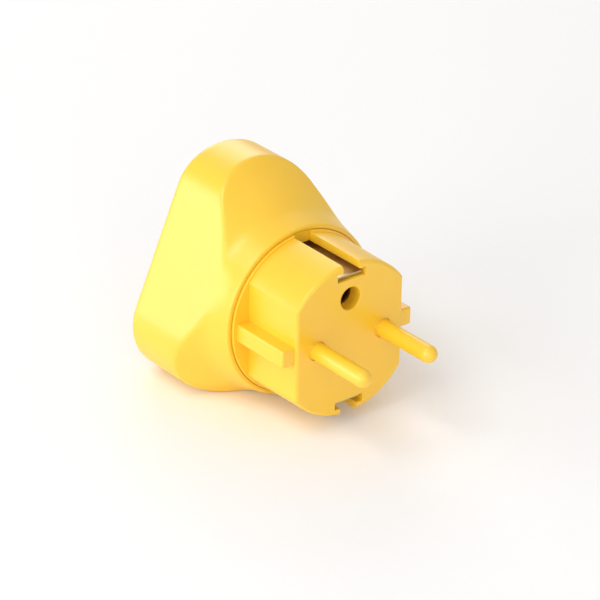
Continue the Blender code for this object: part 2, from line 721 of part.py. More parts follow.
housing_shell(yellow)
plug_insert(yellow)
dummy_pins(yellow)
earth_bow(tin)
contact_sleeve(brass)
insert_retainer(black)
for count, spot in enumerate(RETAINER_SCREWS, start=1):
    pan_screw("retainer_screw_%d" % count, spot, RETAINER_BACK + FIT_GAP, 15.0 * MM, steel)
star_tag(tin)
pan_screw("star_screw", STAR_SCREW, STAR_FRONT + STAR_THICKNESS + FIT_GAP, 21.2 * MM, steel)
front_cover(yellow)
cover_screws(steel)
label_disc(white)
stud_sets(nickel, steel, tin, blue)
shade_smooth(bpy.data.collections[PLUG].objects)
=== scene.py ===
"""Earth bonding plug: the finished look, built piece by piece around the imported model."""

import math

import bmesh
import bpy
import numpy as np
from mathutils import Matrix, Vector


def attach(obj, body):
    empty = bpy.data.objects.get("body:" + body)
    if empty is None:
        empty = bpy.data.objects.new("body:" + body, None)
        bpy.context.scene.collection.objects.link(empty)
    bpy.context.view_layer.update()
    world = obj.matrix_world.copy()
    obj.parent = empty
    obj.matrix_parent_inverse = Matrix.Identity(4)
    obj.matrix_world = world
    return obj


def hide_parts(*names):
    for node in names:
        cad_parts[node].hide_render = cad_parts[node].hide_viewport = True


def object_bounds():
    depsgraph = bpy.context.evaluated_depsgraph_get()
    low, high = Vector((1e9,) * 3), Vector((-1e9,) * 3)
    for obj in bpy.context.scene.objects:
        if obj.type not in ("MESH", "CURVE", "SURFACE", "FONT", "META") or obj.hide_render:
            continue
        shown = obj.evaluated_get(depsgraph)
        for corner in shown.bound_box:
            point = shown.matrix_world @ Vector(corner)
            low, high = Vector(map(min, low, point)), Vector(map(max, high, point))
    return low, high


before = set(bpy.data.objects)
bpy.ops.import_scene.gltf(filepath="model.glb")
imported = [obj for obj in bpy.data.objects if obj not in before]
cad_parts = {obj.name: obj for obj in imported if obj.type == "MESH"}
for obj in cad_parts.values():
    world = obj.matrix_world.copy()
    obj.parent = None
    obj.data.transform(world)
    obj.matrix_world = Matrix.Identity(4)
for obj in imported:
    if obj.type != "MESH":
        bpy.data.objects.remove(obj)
cad_low, cad_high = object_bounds()
MM = 0.001

# ---------------------------------------------------------------------------
# Table top and camera. A white sweep under soft studio light; the camera
# stands in front of the plug face, to its left and a little above it.
# ---------------------------------------------------------------------------
view_azimuth = math.radians(-38.96)
view_elevation = math.radians(26.98)
view_roll = math.radians(1.0)
view_distance = 668.0 * MM
view_left = 11.26 * MM
view_up = 8.81 * MM

backward = Vector((
    math.sin(view_azimuth) * math.cos(view_elevation),
    -math.cos(view_azimuth) * math.cos(view_elevation),
    math.sin(view_elevation),
))
level_right = Vector((math.cos(view_azimuth), math.sin(view_azimuth), 0.0))
level_up = backward.cross(level_right)
right = level_right * math.cos(view_roll) + level_up * math.sin(view_roll)
up = level_up * math.cos(view_roll) - level_right * math.sin(view_roll)

camera = bpy.data.objects.new("camera", bpy.data.cameras.new("camera"))
camera.data.lens = 178.4
camera.data.sensor_width = 36.0
camera.data.clip_start = 0.01
place = backward * view_distance - right * view_left + up * view_up
facing = Matrix((right, up, backward)).transposed()
camera.matrix_world = Matrix.Translation(place) @ facing.to_4x4()
bpy.context.collection.objects.link(camera)
bpy.context.scene.camera = camera

sweep_half = 3.0
sweep_drop = 0.02 * MM
sweep_mesh = bpy.data.meshes.new("white_sweep")
sweep_form = bmesh.new()
bmesh.ops.create_grid(sweep_form, x_segments=1, y_segments=1, size=sweep_half)
bmesh.ops.translate(sweep_form, verts=sweep_form.verts, vec=(0.0, 0.0, cad_low.z - sweep_drop))
sweep_form.to_mesh(sweep_mesh)
sweep_form.free()
sweep = bpy.data.objects.new("white_sweep", sweep_mesh)
bpy.context.collection.objects.link(sweep)


def new_finish(name):
    """A new material and its shader."""
    finish = bpy.data.materials.new(name)
    finish.use_nodes = True
    return finish, finish.node_tree.nodes["Principled BSDF"]


def texture(finish, kind, scale, stretch=None, **settings):
    """A texture node on the object's own coordinates."""
    nodes = finish.node_tree.nodes
    links = finish.node_tree.links
    where = nodes.new("ShaderNodeTexCoord").outputs["Object"]
    pattern = nodes.new("ShaderNodeTex" + kind)
    pattern.inputs["Scale"].default_value = scale
    for title, amount in settings.items():
        pattern.inputs[title].default_value = amount
    if stretch:
        mapping = nodes.new("ShaderNodeMapping")
        mapping.inputs["Scale"].default_value = stretch
        links.new(where, mapping.inputs["Vector"])
        where = mapping.outputs["Vector"]
    links.new(where, pattern.inputs["Vector"])
    return pattern


def tint(finish, share, first, last, start=0.0, end=1.0):
    """Blend the base colour from first to last by share, and return the ramp."""
    tone = finish.node_tree.nodes.new("ShaderNodeValToRGB")
    tone.color_ramp.elements[0].position = start
    tone.color_ramp.elements[0].color = (*first, 1.0)
    tone.color_ramp.elements[1].position = end
    tone.color_ramp.elements[1].color = (*last, 1.0)
    shader = finish.node_tree.nodes["Principled BSDF"]
    finish.node_tree.links.new(share, tone.inputs["Fac"])
    finish.node_tree.links.new(tone.outputs["Color"], shader.inputs["Base Color"])
    return tone.color_ramp


def dull(finish, share, smooth, rough):
    """Vary the roughness from smooth to rough by share."""
    gloss = finish.node_tree.nodes.new("ShaderNodeMapRange")
    gloss.inputs["To Min"].default_value = smooth
    gloss.inputs["To Max"].default_value = rough
    shader = finish.node_tree.nodes["Principled BSDF"]
    finish.node_tree.links.new(share, gloss.inputs["Value"])
    finish.node_tree.links.new(gloss.outputs["Result"], shader.inputs["Roughness"])


def emboss(finish, height, strength, distance):
    """Raise a fine relief of the given distance."""
    relief = finish.node_tree.nodes.new("ShaderNodeBump")
    relief.inputs["Strength"].default_value = strength
    relief.inputs["Distance"].default_value = distance
    shader = finish.node_tree.nodes["Principled BSDF"]
    finish.node_tree.links.new(height, relief.inputs["Height"])
    finish.node_tree.links.new(relief.outputs["Normal"], shader.inputs["Normal"])


def matt_white_paper():
    """Seamless background paper: white, with a faint fibre tone."""
    paper, shader = new_finish("matt_white_paper")
    shader.inputs["Roughness"].default_value = 0.9
    fibre = texture(paper, "Noise", 900.0).outputs["Fac"]
    tint(paper, fibre, (0.93, 0.92, 0.915), (0.95, 0.94, 0.935))
    return paper


sweep.data.materials.append(matt_white_paper())


def softbox(name, position, size, power, tint=(1.0, 1.0, 1.0)):
    """A square soft light aimed at the object."""
    lamp = bpy.data.lights.new(name, "AREA")
    lamp.shape = "SQUARE"
    lamp.size = size
    lamp.energy = power
    lamp.color = tint
    stand = bpy.data.objects.new(name, lamp)
    stand.location = position
    aim = Vector((0.0, 0.02, 0.0)) - Vector(position)
    stand.rotation_euler = aim.to_track_quat("-Z", "Y").to_euler()
    bpy.context.collection.objects.link(stand)


# Each softbox: where it stands, in metres, how wide it is, and its watts.
softbox("key_softbox", (-0.85, -0.10, 0.24), 0.45, 2.9, (1.0, 0.99, 0.97))
softbox("upper_left_softbox", (-0.50, 0.10, 0.85), 0.40, 2.1)
softbox("rear_left_panel", (-0.60, 0.60, 0.16), 0.42, 1.7)
softbox("rear_panel", (0.45, 0.75, 0.40), 0.45, 1.8)
softbox("front_fill", (-0.45, -0.85, 0.40), 0.60, 2.1)

studio = bpy.data.worlds.new("studio")
studio.use_nodes = True
studio.node_tree.nodes["Background"].inputs["Color"].default_value = (1.0, 1.0, 1.0, 1.0)
studio.node_tree.nodes["Background"].inputs["Strength"].default_value = 0.61
bpy.context.scene.world = studio
bpy.context.scene.view_settings.view_transform = "Standard"

# ---------------------------------------------------------------------------
# Housing shell. One moulding in satin yellow plastic: a round neck that flares
# into a bar of rounded-triangle section. Its back edge is rounded and takes an
# inset cover, and inside there is a ledge that the insert is clamped to.
# ---------------------------------------------------------------------------
neck_front = 18.0 * MM
neck_radius = 20.9 * MM
neck_edge = 0.45 * MM
neck_bore = 20.0 * MM
ledge_bore = 17.2 * MM
ledge_front = 21.7 * MM
ledge_back = 24.0 * MM
cover_seat = 46.0 * MM
housing_back = 49.0 * MM
shell_wall = 2.1 * MM
rim_wall = 1.2 * MM
rim_round = 2.5 * MM
crease_round = 0.7 * MM
flare_start = 22.8 * MM
neck_slope = math.radians(13.5)
flare_slope = math.radians(41.0)
flare_round = 9.0 * MM
crown_top = 31.9 * MM
crown_radius = 16.5 * MM
crown_turn = math.radians(29.0)
shoulder_radius = 11.5 * MM
side_lobe_x = 13.65 * MM
side_lobe_z = -8.85 * MM
side_lobe_radius = 12.55 * MM
shell_turns = 480
outline_samples = 6000
land_gap = 0.05 * MM
neck_steps = 6
body_steps = 112
rim_steps = 8
inner_steps = 22
shell_crease = math.radians(38.0)

crown_z = crown_top - crown_radius
shoulder_x = (crown_radius - shoulder_radius) * math.sin(crown_turn)
shoulder_z = crown_z + (crown_radius - shoulder_radius) * math.cos(crown_turn)
corner_arcs = (
    (0.0, crown_z, crown_radius),
    (-shoulder_x, shoulder_z, shoulder_radius),
    (-side_lobe_x, side_lobe_z, side_lobe_radius),
    (side_lobe_x, side_lobe_z, side_lobe_radius),
    (shoulder_x, shoulder_z, shoulder_radius),
)
arc_ends = []
for arc, (x0, z0, r0) in enumerate(corner_arcs):
    x1, z1, r1 = corner_arcs[(arc + 1) % len(corner_arcs)]
    lean = (r0 - r1) / math.hypot(x1 - x0, z1 - z0)
    heading = math.atan2(z1 - z0, x1 - x0)
    arc_ends.append(heading - math.acos(max(-1.0, min(1.0, lean))))


def lobed_outline(inset, arc_points=60):
    """The housing's outline moved in by inset: a blunt crown, two side lobes and straight sides."""
    outline = []
    for arc, (x, z, radius) in enumerate(corner_arcs):
        start = arc_ends[arc - 1]
        turn = (arc_ends[arc] - start) % math.tau
        reach = radius - inset
        for angle in np.linspace(start, start + turn, arc_points):
            outline.append((x + reach * math.cos(angle), z + reach * math.sin(angle)))
    return outline


def flare_radius(y, inset):
    """Radius of the turned neck and flare at y, for a surface moved in by inset."""
    start_radius = neck_radius + (flare_start - neck_front) * math.tan(neck_slope)
    bend_y = flare_start + inset * math.sin(neck_slope)
    bend_radius = start_radius - inset * math.cos(neck_slope)
    bend = flare_round - inset
    end_y = bend_y + bend * (math.sin(flare_slope) - math.sin(neck_slope))
    end_radius = bend_radius + bend * (math.cos(neck_slope) - math.cos(flare_slope))
    if y <= bend_y:
        return bend_radius - (bend_y - y) * math.tan(neck_slope)
    if y >= end_y:
        return end_radius + (y - end_y) * math.tan(flare_slope)
    slope = math.asin(math.sin(neck_slope) + (y - bend_y) / bend)
    return bend_radius + bend * (math.cos(neck_slope) - math.cos(slope))


shell_angles = np.linspace(0.0, math.tau, shell_turns, endpoint=False)


def lobed_ring(inset):
    """Distance from the axis to the outline at each of the shell's angles."""
    loop = np.array(lobed_outline(inset))
    loop = np.vstack((loop, loop[:1]))
    along = np.concatenate(([0.0], np.cumsum(np.hypot(*np.diff(loop, axis=0).T))))
    even = np.linspace(0.0, along[-1], outline_samples, endpoint=False)
    x = np.interp(even, along, loop[:, 0])
    z = np.interp(even, along, loop[:, 1])
    angle = np.arctan2(z, x) % math.tau
    order = np.argsort(angle)
    return np.interp(shell_angles, angle[order], np.hypot(x, z)[order], period=math.tau)


def flared_ring(y, outline_ring, inset):
    """The flare where it lies inside the outline, with the crease between them rounded."""
    turned = flare_radius(y, inset)
    share = np.maximum(crease_round - np.abs(turned - outline_ring), 0.0) / crease_round
    return np.minimum(turned, outline_ring) - share * share * crease_round / 4.0


outer_outline = lobed_ring(0.0)
inner_outline = lobed_ring(shell_wall)
round_ring = np.ones(shell_turns)
neck_land = neck_radius - neck_edge - land_gap
shell_rings = [(neck_front, round_ring * neck_bore), (neck_front, round_ring * neck_land)]
for step in range(neck_steps + 1):
    turn = math.radians(90.0) * step / neck_steps
    y = neck_front + neck_edge * (1.0 - math.cos(turn))
    shrink = neck_edge * (1.0 - math.sin(turn))
    shell_rings.append((y, flared_ring(y, outer_outline, 0.0) - shrink))
rim_start = housing_back - rim_round
body_start = neck_front + neck_edge
for step in range(1, body_steps + 1):
    y = body_start + (rim_start - body_start) * step / body_steps
    shell_rings.append((y, flared_ring(y, outer_outline, 0.0)))
rim_turn = math.acos(1.0 - rim_wall / rim_round)
for step in range(1, rim_steps + 1):
    turn = rim_turn * step / rim_steps
    inset = rim_round * (1.0 - math.cos(turn))
    shell_rings.append((rim_start + rim_round * math.sin(turn), lobed_ring(inset)))
shell_rings.append((cover_seat, lobed_ring(rim_wall)))
shell_rings.append((cover_seat, inner_outline))
for step in range(1, inner_steps + 1):
    y = cover_seat + (ledge_back - cover_seat) * step / inner_steps
    shell_rings.append((y, flared_ring(y, inner_outline, shell_wall)))
shell_rings.append((ledge_back, round_ring * ledge_bore))
shell_rings.append((ledge_front, round_ring * ledge_bore))
shell_rings.append((ledge_front, round_ring * neck_bore))


def ringed_mesh(name, rings, turns):
    """Skin closed rings of radii, each at its own y, and join the last ring to the first."""
    mesh = bpy.data.meshes.new(name)
    points = []
    for y, ring in rings:
        for angle, radius in zip(turns, ring):
            points.append((radius * math.cos(angle), y, radius * math.sin(angle)))
    count = len(turns)
    faces = []
    for i in range(len(rings)):
        for j in range(count):
            a = i * count + j
            b = i * count + (j + 1) % count
            c = (i + 1) % len(rings) * count + (j + 1) % count
            d = (i + 1) % len(rings) * count + j
            faces.append((a, b, c, d))
    mesh.from_pydata(points, [], faces)
    form = bmesh.new()
    form.from_mesh(mesh)
    bmesh.ops.recalc_face_normals(form, faces=form.faces)
    form.to_mesh(mesh)
    form.free()
    mesh.shade_smooth()
    mesh.set_sharp_from_angle(angle=shell_crease)
    return mesh


housing_mesh = ringed_mesh("moulded_housing", shell_rings, shell_angles)
housing = bpy.data.objects.new("moulded_housing", housing_mesh)
bpy.context.collection.objects.link(housing)


def satin_yellow_plastic():
    """Moulded yellow nylon: satin gloss, a fine spark texture and a faint flow tone."""
    plastic, shader = new_finish("satin_yellow_plastic")
    shader.inputs["Subsurface Weight"].default_value = 0.12
    shader.inputs["Subsurface Radius"].default_value = (1.0, 0.6, 0.12)
    shader.inputs["Subsurface Scale"].default_value = 1.2 * MM
    shader.inputs["Specular IOR Level"].default_value = 0.9
    flow = texture(plastic, "Noise", 55.0, Detail=3.0).outputs["Fac"]
    spark = texture(plastic, "Noise", 4200.0).outputs["Fac"]
    tint(plastic, flow, (0.93, 0.550, 0.020), (0.95, 0.580, 0.028), 0.35, 0.70)
    dull(plastic, flow, 0.30, 0.42)
    emboss(plastic, spark, 0.06, 0.02 * MM)
    return plastic


yellow = satin_yellow_plastic()
housing.data.materials.append(yellow)
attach(housing, "root")
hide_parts("housing_shell")

# ---------------------------------------------------------------------------
# Plug insert. Moulded in the same yellow plastic: a round block with two flats,
# side ribs and T-slots for the socket's earth clips, on a flange that seats in
# the neck. The socket's earth pin and the two dummy pins go through its face.
# ---------------------------------------------------------------------------
insert_radius = 19.0 * MM
insert_base_radius = 19.3 * MM
insert_depth = 17.4 * MM
insert_edge = 0.9 * MM
flat_offset = 15.35 * MM
flange_radius = 19.8 * MM
flange_seat_radius = 19.97 * MM
flange_step = 18.5 * MM
flange_back = 21.4 * MM
core_radius = 16.9 * MM
core_back = 24.0 * MM
rib_reach = 18.7 * MM
rib_half_height = 2.2 * MM
rib_setback = 0.8 * MM
slot_half_width = 4.0 * MM
slot_mouth_half = 2.4 * MM
slot_floor = 15.1 * MM
slot_roof = 17.05 * MM
slot_mouth_back = 18.1 * MM
pin_offset = 9.5 * MM
pin_bore = 2.4 * MM
pin_collar_bore = 3.6 * MM
pin_collar_seat = 18.0 * MM
earth_height = 10.2 * MM
earth_hole = 2.7 * MM
sleeve_bore = 3.4 * MM
sleeve_seat = 3.5 * MM
flange_bevel = 0.15 * MM
rib_root = 0.4 * MM
rib_overlap = 0.3 * MM
rib_round = 0.5 * MM
lip_step = 0.4 * MM
lead_in = 0.55 * MM
lead_in_bend = (0.16 * MM, 0.2 * MM)
pocket_near = 4.6 * MM
pocket_far = 10.6 * MM
pocket_front = 3.0 * MM
pocket_low = -13.0 * MM
pocket_high = -6.5 * MM
pilot_radius = 1.55 * MM
pilot_end = 13.0 * MM
pilot_tip = 12.2 * MM
lower_screw = -11.5 * MM
pilot_places = ((12.3 * MM, 6.7 * MM), (-12.3 * MM, 6.7 * MM), (0.0, lower_screw), (0.0, 0.0))
ahead = -1.0 * MM
past = 26.0 * MM


def finished_object(name, points, faces):
    """A linked object from points and faces, with its normals turned outwards."""
    mesh = bpy.data.meshes.new(name)
    mesh.from_pydata(points, [], faces)
    form = bmesh.new()
    form.from_mesh(mesh)
    bmesh.ops.recalc_face_normals(form, faces=form.faces)
    form.to_mesh(mesh)
    form.free()
    piece = bpy.data.objects.new(name, mesh)
    bpy.context.collection.objects.link(piece)
    return piece


def turned(name, profile, place=(0.0, 0.0), steps=96):
    """Turn (radius, y) points about a line along Y; a radius of zero closes an end."""
    points, rings, faces = [], [], []
    for radius, y in profile:
        count = steps if radius > 0.0 else 1
        rings.append(range(len(points), len(points) + count))
        for step in range(count):
            turn = math.tau * step / steps
            x = place[0] + radius * math.cos(turn)
            points.append((x, y, place[1] + radius * math.sin(turn)))
    for near, far in zip(rings, rings[1:]):
        for step in range(steps):
            corners = (
                near[step % len(near)], near[(step + 1) % len(near)],
                far[(step + 1) % len(far)], far[step % len(far)],
            )
            faces.append(tuple(dict.fromkeys(corners)))
    return finished_object(name, points, faces)


def layered(name, layers):
    """Skin outlines of (x, z) points, each at its own y, and close the first and the last."""
    count = len(layers[0][1])
    points = [(x, y, z) for y, outline in layers for x, z in outline]
    last = len(points) - count
    faces = [tuple(range(count)), tuple(range(len(points) - 1, last - 1, -1))]
    for start in range(0, last, count):
        for i in range(count):
            j = (i + 1) % count
            faces.append((start + i, start + j, start + count + j, start + count + i))
    return finished_object(name, points, faces)


def slab(name, outline, front, back):
    """Extrude an outline of (x, z) points from y = front to y = back."""
    return layered(name, [(front, outline), (back, outline)])


def moved_in(outline, distance):
    """Move an anticlockwise outline inwards, with mitred corners."""
    moved = []
    for i, (x, z) in enumerate(outline):
        before = Vector((x - outline[i - 1][0], z - outline[i - 1][1])).normalized()
        follower = outline[(i + 1) % len(outline)]
        after = Vector((follower[0] - x, follower[1] - z)).normalized()
        first = Vector((-before.y, before.x))
        second = Vector((-after.y, after.x))
        corner = (first + second) * distance / (1.0 + first.dot(second))
        moved.append((x + corner.x, z + corner.y))
    return moved


def edge_layers(outline, radius, steps=5):
    """Layers that round an edge, from the end face at y = 0 to y = radius."""
    layers = []
    for step in range(steps + 1):
        turn = math.radians(90.0) * step / steps
        depth = radius * (1.0 - math.cos(turn))
        layers.append((depth, moved_in(outline, radius * (1.0 - math.sin(turn)))))
    return layers


def box(name, low, high):
    """A box between two corners."""
    xs, zs = sorted((low[0], high[0])), sorted((low[2], high[2]))
    outline = ((xs[0], zs[0]), (xs[1], zs[0]), (xs[1], zs[1]), (xs[0], zs[1]))
    return slab(name, outline, low[1], high[1])


def soften(piece, width, segments):
    """Round every edge of the piece."""
    form = bmesh.new()
    form.from_mesh(piece.data)
    bmesh.ops.bevel(
        form,
        geom=list(form.edges),
        offset=width,
        segments=segments,
        profile=0.5,
        affect="EDGES",
    )
    form.to_mesh(piece.data)
    form.free()


def combine(piece, others, operation):
    """Join pieces to another, or cut them from it, and keep the plain result."""
    for other in others:
        step = piece.modifiers.new(other.name, "BOOLEAN")
        step.operation = operation
        step.solver = "EXACT"
        step.object = other
    settle(piece)
    for other in others:
        bpy.data.objects.remove(other, do_unlink=True)


def settle(piece):
    """Turn the piece's modifiers into a plain mesh."""
    graph = bpy.context.evaluated_depsgraph_get()
    result = bpy.data.meshes.new_from_object(piece.evaluated_get(graph))
    piece.modifiers.clear()
    piece.data = result


def even_shading(piece, sharp_degrees=32.0):
    """Smooth shading that keeps the flat faces flat and the corners crisp."""
    piece.data.shade_smooth()
    piece.data.set_sharp_from_angle(angle=math.radians(sharp_degrees))
    weighted = piece.modifiers.new("even_shading", "WEIGHTED_NORMAL")
    weighted.keep_sharp = True
    settle(piece)


def insert_outline(radius):
    """The insert's section: two arcs between the flats."""
    flat_turn = math.acos(flat_offset / radius)
    upper = []
    for turn in np.linspace(flat_turn, math.pi - flat_turn, 80):
        upper.append((radius * math.cos(turn), radius * math.sin(turn)))
    return upper + [(-x, -z) for x, z in upper]


insert_layers = edge_layers(insert_outline(insert_radius), insert_edge)
insert_layers.append((insert_depth, insert_outline(insert_base_radius)))
insert = layered("plug_insert_moulding", insert_layers)
flange = turned("flange", (
    (0.0, core_back),
    (core_radius, core_back),
    (core_radius, flange_back),
    (flange_seat_radius, flange_back),
    (flange_seat_radius, flange_step),
    (flange_radius, flange_step - flange_bevel),
    (flange_radius, insert_depth + flange_bevel),
    (flange_radius - flange_bevel, insert_depth),
    (0.0, insert_depth - 0.5 * MM),
), steps=192)
additions = [flange]
cutters = []
for side in (-1.0, 1.0):
    rib = box(
        "rib",
        (side * (flat_offset - rib_root), rib_setback, -rib_half_height),
        (side * rib_reach, insert_depth + rib_overlap, rib_half_height),
    )
    soften(rib, rib_round, 4)
    additions.append(rib)
    cutters.append(box(
        "strip_slot",
        (-slot_half_width, ahead, side * slot_floor),
        (slot_half_width, past, side * slot_roof),
    ))
    cutters.append(box(
        "slot_mouth",
        (-slot_mouth_half, 1.1 * ahead, side * (slot_floor + lip_step)),
        (slot_mouth_half, slot_mouth_back, side * past),
    ))
    cutters.append(turned("pin_bore", (
        (0.0, past),
        (pin_collar_bore, past),
        (pin_collar_bore, pin_collar_seat),
        (pin_bore, pin_collar_seat),
        (pin_bore, ahead),
        (0.0, ahead),
    ), (side * pin_offset, 0.0), 64))
    cutters.append(box(
        "core_pocket",
        (side * pocket_near, pocket_front, pocket_low),
        (side * pocket_far, past, pocket_high),
    ))
cutters.append(turned("earth_bore", (
    (0.0, past),
    (sleeve_bore, past),
    (sleeve_bore, sleeve_seat),
    (earth_hole, sleeve_seat),
    (earth_hole, lead_in),
    (earth_hole + lead_in_bend[0], lead_in_bend[1]),
    (earth_hole + lead_in, 0.0),
    (earth_hole + lead_in, ahead),
    (0.0, ahead),
), (0.0, earth_height), 72))
for spot in pilot_places:
    cutters.append(turned("screw_pilot", (
        (0.0, past),
        (pilot_radius, past),
        (pilot_radius, pilot_end),
        (0.0, pilot_tip),
    ), spot, 24))
combine(insert, additions, "UNION")
combine(insert, cutters, "DIFFERENCE")
even_shading(insert)
insert.data.materials.clear()
insert.data.materials.append(yellow)
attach(insert, "root")
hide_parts("plug_insert")

# ---------------------------------------------------------------------------
# Dummy pins. Two solid plastic pins with round tips: they hold the plug in the
# outlet and carry no current. A collar behind the face keeps each one in.
# ---------------------------------------------------------------------------
pin_radius = 2.1 * MM
pin_length = 18.0 * MM
pin_root_radius = 2.36 * MM
pin_root_front = 0.12 * MM
pin_collar_radius = 3.3 * MM
pin_collar_front = 18.3 * MM
pin_back = 23.7 * MM
tip_steps = 16

for side_name, side in (("left", -1.0), ("right", 1.0)):
    profile = [
        (0.0, pin_back),
        (pin_collar_radius, pin_back),
        (pin_collar_radius, pin_collar_front),
        (pin_root_radius, pin_collar_front),
        (pin_root_radius, pin_root_front + 0.1 * MM),
        (pin_radius + 0.1 * MM, pin_root_front),
        (pin_radius, pin_root_front - 0.1 * MM),
    ]
    tip_centre = -pin_length + pin_radius
    for step in range(tip_steps + 1):
        turn = math.radians(90.0) * step / tip_steps
        radius = pin_radius * math.cos(turn) if step < tip_steps else 0.0
        profile.append((radius, tip_centre - pin_radius * math.sin(turn)))
    pin = turned("round_tip_pin_" + side_name, profile, (side * pin_offset, 0.0), 72)
    pin.data.shade_smooth()
    pin.data.set_sharp_from_angle(angle=math.radians(35.0))
    pin.data.materials.append(yellow)
    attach(pin, "root")
    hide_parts("dummy_pin_" + side_name)

# ---------------------------------------------------------------------------
# Earth bow. One strip of tinned brass, blanked and bent into a bridge behind
# the insert with a leg along each T-slot. The legs are knurled crosswise, so
# that the socket's earth clips bite on them.
# ---------------------------------------------------------------------------
bow_thickness = 0.6 * MM
bow_half_width = 3.7 * MM
bow_leg_front = 0.9 * MM
bow_leg_top = 16.0 * MM
bridge_back = 24.9 * MM
bow_bend = 0.9 * MM
ridge_pitch = 0.42 * MM
ridge_height = 0.07 * MM
ridge_stretch = 14.4 * MM
ridge_margin = 0.5 * MM
ridge_start = 1.9 * MM
ridge_sides = 12
bend_steps = 8
bow_hole_radius = 1.6 * MM
bow_hole_front = 20.0 * MM
bow_hole_back = 30.0 * MM


def tinned_brass_strip():
    """Tinned brass: dull tin over warm brass, with rolling lines and rubbed patches."""
    metal, shader = new_finish("tinned_brass_strip")
    shader.inputs["Metallic"].default_value = 1.0
    lines = texture(metal, "Noise", 1.0, stretch=(2200.0, 160.0, 2200.0), Detail=3.0)
    rubbed = texture(metal, "Noise", 260.0).outputs["Fac"]
    tint(metal, rubbed, (0.50, 0.38, 0.20), (0.74, 0.62, 0.40), 0.30, 0.75)
    dull(metal, rubbed, 0.28, 0.48)
    emboss(metal, lines.outputs["Fac"], 0.25, 0.01 * MM)
    return metal


tinned_brass = tinned_brass_strip()


def bow_outline():
    """The strip from the side, as (y, z): out along one leg, round the bridge and back."""
    corner_y = bridge_back - bow_bend
    corner_z = bow_leg_top - bow_bend
    outer = [(bow_leg_front, bow_leg_top)]
    inner = [(bow_leg_front, bow_leg_top - bow_thickness)]
    for step in range(bend_steps + 1):
        turn = math.radians(90.0) * (1.0 - step / bend_steps)
        for wall, radius in ((outer, bow_bend), (inner, bow_bend - bow_thickness)):
            wall.append((corner_y + radius * math.cos(turn), corner_z + radius * math.sin(turn)))
    half = outer + [(y, -z) for y, z in reversed(outer)]
    return half + [(y, -z) for y, z in inner] + list(reversed(inner))


strip = bow_outline()
count = len(strip)
strip_points = [(x, y, z) for x in (-bow_half_width, bow_half_width) for y, z in strip]
strip_faces = [tuple(range(count)), tuple(range(2 * count - 1, count - 1, -1))]
strip_faces += [(i, (i + 1) % count, count + (i + 1) % count, count + i) for i in range(count)]
bow = finished_object("earth_bow_strip", strip_points, strip_faces)
bow_holes = []
for height in (earth_height, 0.0, lower_screw):
    bow_holes.append(turned("bow_hole", (
        (0.0, bow_hole_back),
        (bow_hole_radius, bow_hole_back),
        (bow_hole_radius, bow_hole_front),
        (0.0, bow_hole_front),
    ), (0.0, height), 40))
combine(bow, bow_holes, "DIFFERENCE")
bow.data.materials.append(tinned_brass)


def ridge_rows(material):
    """Rows of low half-round ridges across both legs of the bow."""
    tree = bpy.data.node_groups.new("ridge_rows", "GeometryNodeTree")
    face = tree.interface
    face.new_socket("Geometry", in_out="OUTPUT", socket_type="NodeSocketGeometry")
    for title in ("Pitch", "Ridge Height", "Stretch", "Ridge Length", "Leg Height", "First Ridge"):
        face.new_socket(title, in_out="INPUT", socket_type="NodeSocketFloat")
    nodes = tree.nodes
    links = tree.links
    given = nodes.new("NodeGroupInput")
    result = nodes.new("NodeGroupOutput")

    share = nodes.new("ShaderNodeMath")
    share.operation = "DIVIDE"
    links.new(given.outputs["Stretch"], share.inputs[0])
    links.new(given.outputs["Pitch"], share.inputs[1])
    whole = nodes.new("ShaderNodeMath")
    whole.operation = "FLOOR"
    links.new(share.outputs[0], whole.inputs[0])

    ridge = nodes.new("GeometryNodeMeshCylinder")
    ridge.inputs["Vertices"].default_value = ridge_sides
    links.new(given.outputs["Ridge Height"], ridge.inputs["Radius"])
    links.new(given.outputs["Ridge Length"], ridge.inputs["Depth"])

    step = nodes.new("ShaderNodeCombineXYZ")
    links.new(given.outputs["Pitch"], step.inputs["Y"])
    levels = []
    for sign in (1.0, -1.0):
        start = nodes.new("ShaderNodeCombineXYZ")
        level = nodes.new("ShaderNodeMath")
        level.operation = "MULTIPLY"
        level.inputs[1].default_value = sign
        links.new(given.outputs["Leg Height"], level.inputs[0])
        links.new(given.outputs["First Ridge"], start.inputs["Y"])
        links.new(level.outputs[0], start.inputs["Z"])
        row = nodes.new("GeometryNodeMeshLine")
        row.mode = "OFFSET"
        links.new(whole.outputs[0], row.inputs["Count"])
        links.new(start.outputs[0], row.inputs["Start Location"])
        links.new(step.outputs[0], row.inputs["Offset"])
        levels.append(row)
    rows = nodes.new("GeometryNodeJoinGeometry")
    for row in levels:
        links.new(row.outputs["Mesh"], rows.inputs["Geometry"])
    placed = nodes.new("GeometryNodeInstanceOnPoints")
    placed.inputs["Rotation"].default_value = (0.0, math.radians(90.0), 0.0)
    links.new(rows.outputs["Geometry"], placed.inputs["Points"])
    links.new(ridge.outputs["Mesh"], placed.inputs["Instance"])
    real = nodes.new("GeometryNodeRealizeInstances")
    coat = nodes.new("GeometryNodeSetMaterial")
    coat.inputs["Material"].default_value = material
    links.new(placed.outputs["Instances"], real.inputs["Geometry"])
    links.new(real.outputs["Geometry"], coat.inputs["Geometry"])
    links.new(coat.outputs["Geometry"], result.inputs["Geometry"])
    return tree


def grow(name, tree, sizes, material):
    """Run a node tree with its named sizes and keep the plain mesh."""
    piece = bpy.data.objects.new(name, bpy.data.meshes.new(name))
    bpy.context.collection.objects.link(piece)
    growth = piece.modifiers.new(name, "NODES")
    growth.node_group = tree
    for socket in tree.interface.items_tree:
        if socket.in_out == "INPUT" and socket.name in sizes:
            growth[socket.identifier] = sizes[socket.name]
    settle(piece)
    if not piece.data.materials:
        piece.data.materials.append(material)
    return piece


